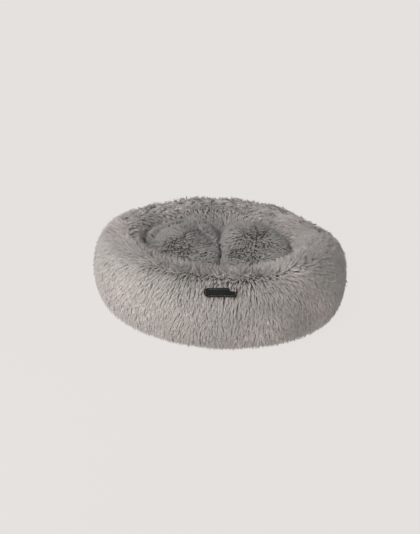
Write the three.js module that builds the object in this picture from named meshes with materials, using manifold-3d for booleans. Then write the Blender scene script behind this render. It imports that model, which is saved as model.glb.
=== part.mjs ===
// A round pet cushion bed: a fur-covered ring of soft filling around a well,
// with a loose round seat cushion lying in the well.
//
// Millimetres, +Z up. The origin is the middle of the underside, and the front,
// where the woven label is, faces -Y.
//
// From the outside in, the pieces are
//   the sewn cover: rim_cover, base_panel and floor_panel, with the woven label
//   what fills it:  rim_fill in its rim_liner, and base_pad under the floor
//   the seat:       seat_cover_top, seat_cover_bottom and seat_fill, lifted out to wash
//   the zip in the underside: tapes, coils, stops, and the slider with its pull

import * as THREE from 'three';
import { mergeVertices } from 'three/addons/utils/BufferGeometryUtils.js';
import Module from 'manifold-3d';

const wasm = await Module();
wasm.setup();

// ---------------------------------------------------------------- driving sizes

// Sewn and zipped pieces that touch are drawn this far apart.
const gap = 0.3;

// The rim is a ring whose section is a rounded square, wider outside than inside.
const bedRadius = 300;
const rimCircle = 228;        // radius of the circle that the crest runs along
const rimInnerHalf = 60;      // from that circle in to the well
const rimHeight = 182;
const rimMiddle = 88;         // height of the widest place
const rimSquareness = 2.5;    // 2 is an ellipse, more is squarer
const furDepth = 22;          // pile and backing together
const linerThickness = 1.2;
const linerSlit = 4;          // half of the closing slit, in degrees of the section

// The underside, the wadding on it, and the floor of the well.
const panelThickness = 1.5;
const padThickness = 12;
const padSetback = 8;         // from the underside's seam in to the wadding's edge
const baseSeamOut = 10;       // from under the crest out to the underside's seam
const baseHem = 3;            // from that seam out to the edge of the panel
const floorThickness = 1.2;
const floorHem = 8;           // of the floor, under the cover's inner edge

// The loose seat cushion.
const seatSideClearance = 4;  // all round, between the cushion and the rim
const seatHeight = 138;
const seatMiddle = 64;        // height of its widest place above its own underside
const seatCrownSquareness = 3.2;
const seatUnderSquareness = 5;
const seatFurDepth = 16;
const seatPanelThickness = 1.2;
const seatHem = 5;            // of the underside, past the seam

// The woven label on the front of the rim.
const labelWidth = 70;
const labelHeight = 20;
const labelThickness = 0.9;
const labelAngle = 42;        // place on the section: 0 is outermost, 90 is the crest
const stitchInset = 3;        // from each end of the label in to its row of stitches
const stitchWidth = 1.2;
const stitchLength = 16;
const stitchThickness = 0.5;

// The zip, which runs along X and is recessed above the underside.
const zipOffset = 70;         // behind the middle of the bed
const coilHalfLength = 136;
const tapeTail = 2;           // past the end of the slot
const coilWidth = 2.6;
const coilHeight = 2.6;
const coilBottom = 4.9;
const tapeThickness = 0.7;
const tapeRise = 0.1;         // from the coil's underside up to the tape
const tapeFlat = 2.8;         // level part beside the coil
const tapeSlope = 2;          // run of the slope down to the panel
const tapeHem = 5.8;          // part that is sewn down on the panel
const stopLength = 3;
const slotHalfWidth = 7;
const grooveMargin = 4;       // round the slot, cut in the wadding
const grooveRoom = 0.6;       // above the slider

const sliderLength = 9;
const webThickness = 0.4;     // the wedge between the coils
const plateThickness = 1.1;
const capThickness = 1.0;
const flangeThickness = 0.8;
const bridgeHalfLength = 3;
const bridgeWall = 0.8;
const bridgeWidth = 2;
const bridgeHole = 1.7;
const pullLength = 28;
const pullHalfWidth = 3;
const pullThickness = 0.9;
const pullEye = 4;            // how far the eye reaches from the pivot
const pullBar = 0.5;          // half of the bar that turns in the bridge
const pullPlay = 0.3;         // beside the bridge
const pullCordHole = 1.3;

// How finely the turned pieces are faceted.
const turnSegments = 40;
const outlineStep = 20;       // degrees of the section
const outlineLeast = 3;       // the least step, beside the section's ends
const labelFacets = 6;

// ---------------------------------------------------------------- helpers

const radians = THREE.MathUtils.degToRad;
const degrees = THREE.MathUtils.radToDeg;

// A ring or a disc, turned about the Z axis from an anticlockwise outline of (radius, height).
function turned(outline) {
  const closed = outline[0].x === 0 ? outline : [...outline, outline[0].clone()];
  const geometry = new THREE.LatheGeometry(closed, turnSegments);
  return geometry.rotateX(Math.PI / 2);
}

function disc(radius, bottom, thickness) {
  return turned([
    new THREE.Vector2(0, bottom),
    new THREE.Vector2(radius, bottom),
    new THREE.Vector2(radius, bottom + thickness),
    new THREE.Vector2(0, bottom + thickness),
  ]);
}

function box(low, high) {
  const size = new THREE.Vector3().subVectors(high, low);
  const middle = new THREE.Vector3().addVectors(low, high).multiplyScalar(0.5);
  return new THREE.BoxGeometry(size.x, size.y, size.z).translate(middle.x, middle.y, middle.z);
}

// A bar along X whose section is an anticlockwise outline of (y, z).
function barAlongX(outline, from, to) {
  const shape = new THREE.Shape(outline.map(([y, z]) => new THREE.Vector2(y, z)));
  const geometry = new THREE.ExtrudeGeometry(shape, { depth: to - from, bevelEnabled: false });
  const axes = new THREE.Matrix4().makeBasis(
    new THREE.Vector3(0, 1, 0),
    new THREE.Vector3(0, 0, 1),
    new THREE.Vector3(1, 0, 0),
  );
  return geometry.applyMatrix4(axes).translate(from, 0, 0);
}

function asSolid(geometry) {
  const bare = geometry.clone();
  bare.deleteAttribute('normal');
  bare.deleteAttribute('uv');
  const merged = mergeVertices(bare, 1e-4);
  return new wasm.Manifold(new wasm.Mesh({
    numProp: 3,
    vertProperties: new Float32Array(merged.attributes.position.array),
    triVerts: new Uint32Array(merged.index.array),
  }));
}

function asGeometry(solid) {
  const mesh = solid.getMesh();
  const geometry = new THREE.BufferGeometry();
  geometry.setAttribute('position', new THREE.BufferAttribute(mesh.vertProperties, 3));
  geometry.setIndex(new THREE.BufferAttribute(mesh.triVerts, 1));
  geometry.computeVertexNormals();
  return geometry;
}

const cut = (geometry, tool) => asGeometry(asSolid(geometry).subtract(asSolid(tool)));
const join = (geometry, other) => asGeometry(asSolid(geometry).add(asSolid(other)));

function material(color, roughness, metalness = 0) {
  return new THREE.MeshStandardMaterial({ color, roughness, metalness });
}

const finishes = {
  fur: material(0xa39c97, 0.95),
  seatFur: material(0x8f8986, 0.95),
  lining: material(0xd9d6d0, 0.9),
  fibre: material(0xf2f1ee, 1),
  gripCloth: material(0x4a4a4c, 0.85),
  floorCloth: material(0x8d8986, 0.9),
  label: material(0x17181a, 0.7),
  thread: material(0x2a2b2d, 0.6),
  tape: material(0x55555a, 0.8),
  coil: material(0x4a4b50, 0.4),
  zinc: material(0x9a9ca0, 0.35, 1),
};

const bed = new THREE.Group();

function place(parent, name, geometry, finish) {
  const mesh = new THREE.Mesh(geometry, finish);
  mesh.name = name;
  parent.add(mesh);
  return mesh;
}

// ---------------------------------------------------------------- heights

const padBottom = panelThickness + gap;
const padTop = padBottom + padThickness;
const floorBottom = padTop + gap;
const floorTop = floorBottom + floorThickness;

// ---------------------------------------------------------------- the rim

const padRadius = rimCircle + baseSeamOut - padSetback;
const rimOuterHalf = bedRadius - rimCircle;
const rimTopHalf = rimHeight - rimMiddle;
const rimBottomHalf = rimMiddle - padBottom;

// A signed power, which turns the points of a circle into those of a rounded square.
function squared(value, squareness) {
  return Math.sign(value) * Math.abs(value) ** (2 / squareness);
}

// A point of the rim's section, drawn in from its outside by so much at the sides and
// the crest, and by so much at the bottom.
function rimPoint(angle, inset, bottomInset) {
  const across = Math.cos(radians(angle));
  const up = Math.sin(radians(angle));
  const halfWidth = (across > 0 ? rimOuterHalf : rimInnerHalf) - inset;
  const halfHeight = up > 0 ? rimTopHalf - inset : rimBottomHalf - bottomInset;
  return new THREE.Vector2(
    rimCircle + halfWidth * squared(across, rimSquareness),
    rimMiddle + halfHeight * squared(up, rimSquareness),
  );
}

// The angles of the section's points between two ends, with one of them at the label.
function rimAngles(start, end) {
  const angles = [start];
  const first = labelAngle - outlineStep * Math.floor((labelAngle - start) / outlineStep);
  for (let angle = first; angle < end; angle += outlineStep) {
    const clear = Math.min(angle - start, end - angle) > outlineLeast;
    if (clear) angles.push(angle);
  }
  angles.push(end);
  return angles;
}

// An open band of the section between two insets, like a letter C on its side.
function rimBand(start, end, outer, inner) {
  const angles = rimAngles(start, end);
  const outside = angles.map((angle) => rimPoint(angle, ...outer));
  const inside = angles.map((angle) => rimPoint(angle, ...inner)).reverse();
  return turned([...outside, ...inside]);
}

// The cover's outer edge is sewn to the underside, and its inner edge to the floor.
const seamReach = baseSeamOut / rimOuterHalf;
const outerEdge = -degrees(Math.acos(seamReach ** (rimSquareness / 2)));
const floorDrop = (rimMiddle - floorTop - gap) / rimBottomHalf;
const innerEdge = 180 + degrees(Math.asin(floorDrop ** (rimSquareness / 2)));
const coverInside = [furDepth, padThickness];
place(bed, 'rim_cover', rimBand(outerEdge, innerEdge, [0, 0], coverInside), finishes.fur);

const linerOutside = coverInside.map((inset) => inset + gap);
const linerInside = linerOutside.map((inset) => inset + linerThickness);
place(
  bed,
  'rim_liner',
  rimBand(-90 + linerSlit, 270 - linerSlit, linerOutside, linerInside),
  finishes.lining,
);

const fillInset = linerInside.map((inset) => inset + gap);
const fillOutline = rimAngles(-90, 270).slice(0, -1).map((angle) => rimPoint(angle, ...fillInset));
place(bed, 'rim_fill', turned(fillOutline), finishes.fibre);

// ---------------------------------------------------------------- underside, wadding and floor

// The slot is so long that the pull, turned right over at a stop, lies inside it.
const slotHalfLength = coilHalfLength + pullLength;
const sliderTop = coilBottom + coilHeight + gap + capThickness;
const panelRadius = rimCircle + baseSeamOut + baseHem;

const slot = box(
  new THREE.Vector3(-slotHalfLength, zipOffset - slotHalfWidth, -1),
  new THREE.Vector3(slotHalfLength, zipOffset + slotHalfWidth, panelThickness + 1),
);
place(bed, 'base_panel', cut(disc(panelRadius, 0, panelThickness), slot), finishes.gripCloth);

const tapeInnerY = webThickness / 2 + gap + coilWidth + gap;
const tapeOuterY = tapeInnerY + tapeFlat + tapeSlope + tapeHem;
const grooveHalfLength = slotHalfLength + grooveMargin;
const grooveHalfWidth = tapeOuterY + gap;
const groove = box(
  new THREE.Vector3(-grooveHalfLength, zipOffset - grooveHalfWidth, 0),
  new THREE.Vector3(grooveHalfLength, zipOffset + grooveHalfWidth, sliderTop + grooveRoom),
);
place(bed, 'base_pad', cut(disc(padRadius, padBottom, padThickness), groove), finishes.fibre);

const floorRadius = rimPoint(innerEdge, 0, 0).x + floorHem;
place(bed, 'floor_panel', disc(floorRadius, floorBottom, floorThickness), finishes.floorCloth);

// ---------------------------------------------------------------- the label

// It is bent round the rim, so it lies on a cylinder whose radius fits the ring there.
const labelSeat = rimPoint(labelAngle, 0, 0);
const labelSlope = new THREE.Vector2().subVectors(
  rimPoint(labelAngle + 1, 0, 0),
  rimPoint(labelAngle - 1, 0, 0),
);
const labelTilt = Math.atan2(-labelSlope.x, labelSlope.y);
const labelBend = labelSeat.x / Math.cos(labelTilt);

// A strip bent round the rim, centred so many millimetres along the label.
function bentStrip(middle, width, height, bottom, thickness, facets) {
  const inner = labelBend + bottom;
  const outer = inner + thickness;
  const centre = Math.PI / 2 - middle / labelBend;
  const half = width / 2 / labelBend;
  const shape = new THREE.Shape();
  shape.absarc(0, -labelBend, outer, centre - half, centre + half, false);
  shape.absarc(0, -labelBend, inner, centre + half, centre - half, true);
  const settings = { depth: height, bevelEnabled: false, curveSegments: facets };
  return new THREE.ExtrudeGeometry(shape, settings).translate(0, 0, -height / 2);
}

const labelGroup = new THREE.Group();
labelGroup.position.set(0, -labelSeat.x, labelSeat.y);
labelGroup.rotation.x = Math.PI - labelTilt;
bed.add(labelGroup);

place(
  labelGroup,
  'label',
  bentStrip(0, labelWidth, labelHeight, gap, labelThickness, labelFacets),
  finishes.label,
);
const stitchBottom = gap + labelThickness + gap;
const stitchPlace = labelWidth / 2 - stitchInset;
for (const [name, side] of [['label_stitch_left', -1], ['label_stitch_right', 1]]) {
  const middle = side * stitchPlace;
  const row = bentStrip(middle, stitchWidth, stitchLength, stitchBottom, stitchThickness, 1);
  place(labelGroup, name, row, finishes.thread);
}

// ---------------------------------------------------------------- the seat cushion

const seatHalf = rimCircle - rimInnerHalf - seatSideClearance;
const seatBottom = floorTop + gap;
const seatWidest = seatBottom + seatMiddle;
const seatTopHalf = seatHeight - seatMiddle;

// A point of the seat's section, drawn in from its outside: 90 is the crown, 0 the side
// and -90 the middle of the underside.
function seatPoint(angle, inset, bottomInset) {
  const across = Math.cos(radians(angle));
  const up = Math.sin(radians(angle));
  const squareness = up > 0 ? seatCrownSquareness : seatUnderSquareness;
  const halfHeight = up > 0 ? seatTopHalf - inset : seatMiddle - bottomInset;
  return new THREE.Vector2(
    (seatHalf - inset) * squared(across, squareness),
    seatWidest + halfHeight * squared(up, squareness),
  );
}

function seatSide(start, inset, bottomInset) {
  const steps = Math.round((90 - start) / outlineStep);
  const points = [];
  for (let i = 0; i < steps; i += 1) {
    points.push(seatPoint(start + ((90 - start) * i) / steps, inset, bottomInset));
  }
  points.push(new THREE.Vector2(0, seatWidest + seatTopHalf - inset));
  return points;
}

// The top is sewn to the underside where its section comes down to it.
const seatDrop = (seatMiddle - seatPanelThickness - gap) / seatMiddle;
const seatSeam = -degrees(Math.asin(seatDrop ** (seatUnderSquareness / 2)));
const seatOutside = seatSide(seatSeam, 0, 0);
const seatInside = seatSide(seatSeam, seatFurDepth, seatPanelThickness).reverse();
place(bed, 'seat_cover_top', turned([...seatInside, ...seatOutside]), finishes.seatFur);

const seatPanelRadius = seatPoint(seatSeam, 0, 0).x + seatHem;
place(
  bed,
  'seat_cover_bottom',
  disc(seatPanelRadius, seatBottom, seatPanelThickness),
  finishes.floorCloth,
);

const seatFillBottom = seatPanelThickness + gap;
const seatFill = seatSide(seatSeam, seatFurDepth + gap, seatFillBottom);
seatFill.unshift(new THREE.Vector2(0, seatBottom + seatFillBottom));
place(bed, 'seat_fill', turned(seatFill), finishes.fibre);

// ---------------------------------------------------------------- the zip

const zip = new THREE.Group();
zip.position.set(0, zipOffset, 0);
bed.add(zip);

const coilInnerY = webThickness / 2 + gap;
const coilOuterY = coilInnerY + coilWidth;
const coilTop = coilBottom + coilHeight;
const tapeHalfLength = slotHalfLength + tapeTail;
const tapeLevel = coilBottom + tapeRise;
const tapeSewn = panelThickness + gap;

// Each half is drawn on the +Y side, and turned about Z for the front half.
for (const [side, turn] of [['back', 0], ['front', Math.PI]]) {
  const tape = barAlongX([
    [tapeInnerY, tapeLevel],
    [tapeInnerY + tapeFlat, tapeLevel],
    [tapeInnerY + tapeFlat + tapeSlope, tapeSewn],
    [tapeOuterY, tapeSewn],
    [tapeOuterY, tapeSewn + tapeThickness],
    [tapeInnerY + tapeFlat + tapeSlope + tapeThickness / 2, tapeSewn + tapeThickness],
    [tapeInnerY + tapeFlat + tapeThickness / 2, tapeLevel + tapeThickness],
    [tapeInnerY, tapeLevel + tapeThickness],
  ], -tapeHalfLength, tapeHalfLength);
  place(zip, `zip_tape_${side}`, tape.rotateZ(turn), finishes.tape);

  const coil = barAlongX([
    [coilInnerY, coilBottom],
    [coilOuterY, coilBottom],
    [coilOuterY, coilTop],
    [coilInnerY, coilTop],
  ], -coilHalfLength, coilHalfLength);
  place(zip, `zip_coil_${side}`, coil.rotateZ(turn), finishes.coil);
}

for (const [name, side] of [['zip_stop_left', -1], ['zip_stop_right', 1]]) {
  const near = side * (coilHalfLength + gap);
  const far = near + side * stopLength;
  const stop = box(
    new THREE.Vector3(Math.min(near, far), -coilOuterY, coilBottom),
    new THREE.Vector3(Math.max(near, far), coilOuterY, coilTop),
  );
  place(zip, name, stop, finishes.zinc);
}

// The slider: an outer plate, an inner cap whose flanges hold the coils, and the wedge
// between the coils that joins the two. The bridge under the plate carries the pull.
const plateTop = coilBottom - gap;
const plateBottom = plateTop - plateThickness;
const capBottom = coilTop + gap;
const flangeBottom = tapeLevel + tapeThickness + gap;
const flangeInnerY = coilOuterY + gap;
const sliderHalfWidth = flangeInnerY + flangeThickness;
const webHalf = webThickness / 2;
const sliderRight = [
  [sliderHalfWidth, plateBottom],
  [sliderHalfWidth, plateTop],
  [webHalf, plateTop],
  [webHalf, capBottom],
  [flangeInnerY, capBottom],
  [flangeInnerY, flangeBottom],
  [sliderHalfWidth, flangeBottom],
  [sliderHalfWidth, sliderTop],
];
const sliderLeft = sliderRight.map(([y, z]) => [-y, z]).reverse();
const sliderBody = barAlongX([...sliderRight, ...sliderLeft], -sliderLength / 2, sliderLength / 2);

const bridgeBottom = plateBottom - bridgeHole - bridgeWall;
const bridgeHalfWidth = bridgeWidth / 2;
const bridgeBlock = box(
  new THREE.Vector3(-bridgeHalfLength, -bridgeHalfWidth, bridgeBottom),
  new THREE.Vector3(bridgeHalfLength, bridgeHalfWidth, plateBottom + plateThickness / 2),
);
const bridgeEye = box(
  new THREE.Vector3(bridgeWall - bridgeHalfLength, -bridgeWidth, bridgeBottom + bridgeWall),
  new THREE.Vector3(bridgeHalfLength - bridgeWall, bridgeWidth, plateBottom),
);
const slider = join(sliderBody, cut(bridgeBlock, bridgeEye));

const sliderPark = -(coilHalfLength - sliderLength / 2 - gap);
place(zip, 'zip_slider', slider, finishes.zinc).position.x = sliderPark;

// The pull lies flat under the plate, and its bar turns in the bridge.
const pivotHeight = plateBottom - bridgeHole / 2;
const pullShape = new THREE.Shape();
pullShape.moveTo(-pullBar, -pullHalfWidth);
pullShape.lineTo(pullLength - pullHalfWidth, -pullHalfWidth);
pullShape.absarc(pullLength - pullHalfWidth, 0, pullHalfWidth, -Math.PI / 2, Math.PI / 2, false);
pullShape.lineTo(-pullBar, pullHalfWidth);
const eyeHalfWidth = bridgeHalfWidth + pullPlay;
const eye = new THREE.Path();
eye.moveTo(pullBar, -eyeHalfWidth);
eye.lineTo(pullBar, eyeHalfWidth);
eye.lineTo(pullEye, eyeHalfWidth);
eye.lineTo(pullEye, -eyeHalfWidth);
const cordHole = new THREE.Path();
cordHole.absarc(pullLength - pullHalfWidth, 0, pullCordHole, 0, 2 * Math.PI, true);
pullShape.holes.push(eye, cordHole);
const pullSettings = { depth: pullThickness, bevelEnabled: false, curveSegments: 8 };
const pull = new THREE.ExtrudeGeometry(pullShape, pullSettings).translate(0, 0, -pullThickness / 2);
place(zip, 'zip_pull', pull, finishes.zinc).position.set(sliderPark, 0, pivotHeight);

export default bed;
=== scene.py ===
# %% [markdown]
# # A round fur pet bed
#
# The bed is a soft ring of filling in a long-pile fur cover, around a well that holds a
# loose, puffy seat cushion. The frame below comes from the CAD model and never changes:
# it says how large each piece is and which body it moves with. What follows makes the
# soft surfaces and the finishes around it.

# %% load the frame
import math

import bmesh
import bpy
import numpy as np
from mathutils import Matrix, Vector, kdtree


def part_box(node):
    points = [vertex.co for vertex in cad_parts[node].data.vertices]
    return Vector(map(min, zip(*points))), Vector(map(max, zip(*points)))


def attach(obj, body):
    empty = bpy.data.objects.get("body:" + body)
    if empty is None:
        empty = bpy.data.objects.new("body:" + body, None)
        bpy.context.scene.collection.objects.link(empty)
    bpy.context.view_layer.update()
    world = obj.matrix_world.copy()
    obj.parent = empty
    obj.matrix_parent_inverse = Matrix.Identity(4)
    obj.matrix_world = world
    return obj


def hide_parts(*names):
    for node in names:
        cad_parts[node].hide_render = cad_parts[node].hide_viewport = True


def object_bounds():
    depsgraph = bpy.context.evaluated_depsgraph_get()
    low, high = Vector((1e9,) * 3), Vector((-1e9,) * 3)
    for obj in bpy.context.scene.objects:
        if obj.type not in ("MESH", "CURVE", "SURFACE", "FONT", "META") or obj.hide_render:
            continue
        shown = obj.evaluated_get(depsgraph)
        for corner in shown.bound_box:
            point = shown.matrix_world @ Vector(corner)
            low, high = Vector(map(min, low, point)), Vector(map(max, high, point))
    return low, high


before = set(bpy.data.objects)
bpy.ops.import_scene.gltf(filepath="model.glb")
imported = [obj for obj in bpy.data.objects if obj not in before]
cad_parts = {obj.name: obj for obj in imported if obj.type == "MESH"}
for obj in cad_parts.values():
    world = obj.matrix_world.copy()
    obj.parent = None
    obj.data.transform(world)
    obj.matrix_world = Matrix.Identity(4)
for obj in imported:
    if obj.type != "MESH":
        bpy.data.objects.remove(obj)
cad_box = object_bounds()
mm = 0.001

# %% [markdown]
# ## Camera
#
# A long lens from a little above keeps the ring's near and far sides almost the same
# size, as in a catalogue picture. The lens follows from the distance and from how much
# of the picture's width the bed fills.

# %% camera
camera_distance = 2.6
camera_height_angle = math.radians(23.2)
sensor_width = 36
bed_share = 0.59762  # of the picture's width
bed_width = cad_box[1].x - cad_box[0].x

camera_data = bpy.data.cameras.new("camera")
camera_data.sensor_fit = "HORIZONTAL"
camera_data.sensor_width = sensor_width
camera_data.lens = sensor_width * camera_distance * bed_share / bed_width
camera = bpy.data.objects.new("camera", camera_data)
bpy.context.collection.objects.link(camera)
aim = Vector((-0.0214, 0.0, 0.087))
camera.location = aim + camera_distance * Vector(
    (0, -math.cos(camera_height_angle), math.sin(camera_height_angle))
)
camera.rotation_euler = (math.pi / 2 - camera_height_angle, 0, 0)
bpy.context.scene.camera = camera
print(f"lens {camera_data.lens:.0f} mm")

# %% [markdown]
# ## Colours and nodes
#
# Colours are written as the sRGB values that a screen shows. Blender mixes light in
# linear values, so one function turns one into the other. Another small function adds
# a node with its settings and links, and is all that the materials below need.

# %% colour and node helpers
def linear(hex_colour):
    values = [int(hex_colour[i : i + 2], 16) / 255 for i in (1, 3, 5)]
    return tuple(
        v / 12.92 if v <= 0.04045 else ((v + 0.055) / 1.055) ** 2.4 for v in values
    ) + (1.0,)


def add_node(tree, kind, links=None, **settings):
    """Add a node; links maps its input sockets to values or to other nodes' outputs."""
    node = tree.nodes.new(kind)
    for name, value in settings.items():
        setattr(node, name, value)
    for socket, source in (links or {}).items():
        if isinstance(source, bpy.types.NodeSocket):
            tree.links.new(source, node.inputs[socket])
        else:
            node.inputs[socket].default_value = source
    return node


def new_material(name, roughness, **plain):
    """An empty Principled material: its tree, and the shader to plug things into."""
    material = bpy.data.materials.new(name)
    material.use_nodes = True
    shader = material.node_tree.nodes["Principled BSDF"]
    shader.inputs["Roughness"].default_value = roughness
    for socket, value in plain.items():
        shader.inputs[socket.replace("_", " ")].default_value = value
    return material, material.node_tree, shader


def set_ramp(node, stops):
    ramp = node.color_ramp
    while len(ramp.elements) < len(stops):
        ramp.elements.new(0.5)
    for element, (place, colour) in zip(ramp.elements, stops):
        element.position = place
        element.color = linear(colour)


# %% [markdown]
# ## Floor and light
#
# A catalogue picture is taken on a table of lit white glass, which leaves no dark shadow
# under the bed and throws some light back up at its sides. The glass here is dark by
# itself and glows a pale warm grey, so that lamps and shadows hardly show on it. A large
# soft lamp hangs above the camera, to its left. A weak lamp overhead, a little behind the
# bed, lights the far crest. A small one stands low and near on the left, so its light
# falls off across the bed: the left of the bed is light and the right of it is darker. A
# very weak sky fills the rest.

# %% floor
floor_material, tree, shader = new_material("lit_white_glass", 0.9)
shader.inputs["Base Color"].default_value = linear("#302f2f")
shader.inputs["Specular IOR Level"].default_value = 0.0
shader.inputs["Emission Color"].default_value = linear("#e5e1de")
shader.inputs["Emission Strength"].default_value = 0.975
floor_size = 30
bpy.ops.mesh.primitive_plane_add(size=floor_size, location=(0, 0, 0))
floor = bpy.context.object
floor.name = "floor"
floor.data.materials.append(floor_material)

# %% light
world = bpy.data.worlds.new("soft_sky")
bpy.context.scene.world = world
world.use_nodes = True
world.node_tree.nodes["Background"].inputs["Color"].default_value = linear("#fbfaf8")
world.node_tree.nodes["Background"].inputs["Strength"].default_value = 0.05
bpy.context.scene.view_settings.view_transform = "Standard"


def lamp(name, kind, energy, towards, **settings):
    """A lamp whose light comes from the direction of towards."""
    data = bpy.data.lights.new(name, kind)
    data.energy = energy
    for setting, value in settings.items():
        setattr(data, setting, value)
    light = bpy.data.objects.new(name, data)
    bpy.context.collection.objects.link(light)
    light.rotation_euler = Vector(towards).to_track_quat("Z", "Y").to_euler()
    return light


lamp("large soft lamp", "SUN", 2.0, (-0.32, -0.72, 0.68), angle=math.radians(45))
lamp("overhead lamp", "SUN", 0.45, (-0.1, 0.4, 0.9), angle=math.radians(60))
side_place = Vector((-0.9, -0.9, 0.28))
side_target = Vector((0, 0, 0.1))
side = lamp("small side lamp", "AREA", 4.5, side_place - side_target, size=0.5)
side.location = side_place
side.visible_camera = False
print("lamps:", [light.name for light in bpy.data.lights])

# %% [markdown]
# ## The shapes under the fur
#
# Both cushions are sewn bags. The ring's section is a rounded square, fuller outside
# than inside. The bag is soft, so slow waves round the ring make it bulge and sag, the
# whole ring is pushed slightly out of round, and the filling has parted at a few places,
# which leaves shallow dents.

# %% sizes of the ring
cover_low, cover_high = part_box("rim_cover")
rim_radius = (cover_high.x - cover_low.x) / 2
crest_circle = 228 * mm
rim_inner_half = 60 * mm
rim_outer_half = rim_radius - crest_circle
rim_middle = 88 * mm
rim_top_half = cover_high.z - rim_middle
rim_bottom_half = rim_middle - cover_low.z
rim_squareness = 2.5
rim_squareness_inside = 3.4
pile_depth = 12 * mm
pile_depth_below = 5 * mm
out_of_round = 13 * mm
out_of_round_angle = math.radians(-45)
slow_bulge = 0.030  # share of the tube's width that the slow waves add and take
quick_bulge = 0.018
slow_rise = 0.020  # the same for its height above the middle
pad_margin = 8 * mm  # how far past the base the ring already clears the wadding
pad_blend = 14 * mm
base_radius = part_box("base_panel")[1].x
pad_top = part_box("base_pad")[1].z
print(f"ring {2 * rim_radius:.3f} m across and {cover_high.z:.3f} m high")

dents = [
    # angle round the bed, angle round the tube, depth, and its reach both ways in degrees
    (92, 90, 4 * mm, 8, 60),
    (68, 90, 6 * mm, 7, 60),
    (118, 80, 4 * mm, 8, 60),
    (-17, 50, 9 * mm, 8, 45),
    (22, 75, 10 * mm, 22, 70),
    (-140, 20, 4 * mm, 12, 50),
    (150, 165, 9 * mm, 34, 45),
]


# %% surface helpers
def squared(value, squareness):
    return np.sign(value) * np.abs(value) ** (2 / squareness)


def ring_waves(angle, seed, first, count):
    """Slow waves round the ring, about -1 to 1, from sines with seeded phases."""
    random = np.random.default_rng(seed)
    total = np.zeros_like(angle)
    for turns in range(first, first + count):
        total += random.uniform(0.5, 1) * np.sin(turns * angle + random.uniform(0, 2 * np.pi))
    return total / math.sqrt(count)


def drift(points, wavelength, seed):
    """Smooth noise in space, about -1 to 1, with features of about one wavelength."""
    random = np.random.default_rng(seed)
    total = np.zeros(len(points))
    waves = 7
    for _ in range(waves):
        way = random.normal(size=3)
        way *= 2 * np.pi / (wavelength * np.linalg.norm(way) * random.uniform(0.7, 1.4))
        total += np.sin(points @ way + random.uniform(0, 2 * np.pi))
    return total / math.sqrt(waves)


def unit(vectors):
    return vectors / np.maximum(np.linalg.norm(vectors, axis=-1, keepdims=True), 1e-12)


def bump(angle, middle, reach):
    """1 at the middle angle, falling smoothly to nothing past its reach, in degrees."""
    turn = np.angle(np.exp(1j * (angle - math.radians(middle))))
    return np.exp(-((turn / math.radians(reach)) ** 2))


def rim_surface(angle, section, inset, bottom_inset):
    """Points of the ring: angle round the bed, section round the tube (90 is the crest)."""
    across, up = np.cos(section), np.sin(section)
    dent = sum(d * bump(angle, at, w) * bump(section, over, t) for at, over, d, w, t in dents)
    half_width = np.where(across > 0, rim_outer_half, rim_inner_half) - inset - dent
    half_height = np.where(up > 0, rim_top_half - inset - dent, rim_bottom_half - bottom_inset)
    bulge = 1 + slow_bulge * ring_waves(angle, 3, 3, 6) + quick_bulge * ring_waves(angle, 4, 9, 8)
    rise = np.where(up > 0, 1 + slow_rise * ring_waves(angle, 5, 2, 6), 1)
    squareness = np.where(across > 0, rim_squareness, rim_squareness_inside)
    squeeze = out_of_round * np.cos(2 * (angle - out_of_round_angle))
    radius = crest_circle + squeeze + half_width * bulge * squared(across, squareness)
    height = rim_middle + half_height * rise * squared(up, rim_squareness)
    over_pad = np.clip((base_radius + pad_margin - radius) / pad_blend, 0, 1)
    height = np.maximum(height, (pad_top + 1 * mm + inset - pile_depth) * over_pad)
    return np.stack([radius * np.cos(angle), radius * np.sin(angle), height], -1)


def link_mesh(name, mesh):
    mesh.polygons.foreach_set("use_smooth", [True] * len(mesh.polygons))
    mesh.update()
    piece = bpy.data.objects.new(name, mesh)
    bpy.context.collection.objects.link(piece)
    return piece


def closed_mesh(name, points, poles):
    """A mesh from rings of points. points[i, j] is angle i, row j. With poles the first
    and last rows shrink to a point each, and without them the rows close on themselves."""
    angles, rows = points.shape[:2]
    i, j = np.meshgrid(np.arange(angles), np.arange(rows - 1 if poles else rows), indexing="ij")
    after = (i + 1) % angles
    below = (j + 1) % rows
    quads = np.stack([i * rows + j, after * rows + j, after * rows + below, i * rows + below], -1)
    mesh = bpy.data.meshes.new(name)
    mesh.from_pydata(points.reshape(-1, 3).tolist(), [], quads.reshape(-1, 4).tolist())
    if poles:
        work = bmesh.new()
        work.from_mesh(mesh)
        bmesh.ops.remove_doubles(work, verts=work.verts, dist=1e-6)
        bmesh.ops.dissolve_degenerate(work, edges=work.edges, dist=1e-7)
        bmesh.ops.recalc_face_normals(work, faces=work.faces)
        work.to_mesh(mesh)
        work.free()
    return link_mesh(name, mesh)


def grid(angles, sections):
    return np.meshgrid(angles, sections, indexing="ij")


# %% [markdown]
# The cover, the liner bag inside it and the filling are three skins of one shape, each
# a little further in. Only the cover's backing carries fur.

# %% the ring's skins
def ring_of(name, angles, sections, inset, bottom_inset):
    angle, section = grid(
        np.linspace(0, 2 * np.pi, angles, endpoint=False),
        np.linspace(-np.pi / 2, 1.5 * np.pi, sections, endpoint=False),
    )
    return closed_mesh(name, rim_surface(angle, section, inset, bottom_inset), poles=False)


rim_backing = ring_of("rim_backing", 240, 72, pile_depth, pile_depth_below)
rim_bag = ring_of("rim_bag", 180, 48, pile_depth + 4 * mm, pile_depth_below + 3 * mm)
rim_wadding = ring_of("rim_wadding", 180, 48, pile_depth + 7 * mm, pile_depth_below + 6 * mm)

# %% [markdown]
# The seat is too large for its well, so it buckles into two lobes with a deep crease
# between them and small folds at its edge. Beside each fold line the surface drops as
# the side of a round pillow does: level at first, then steeply down. Each lobe has a
# low crown, the edge leans out over the ring and rolls further out at the back left,
# and the whole seat dips towards the front.

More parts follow.
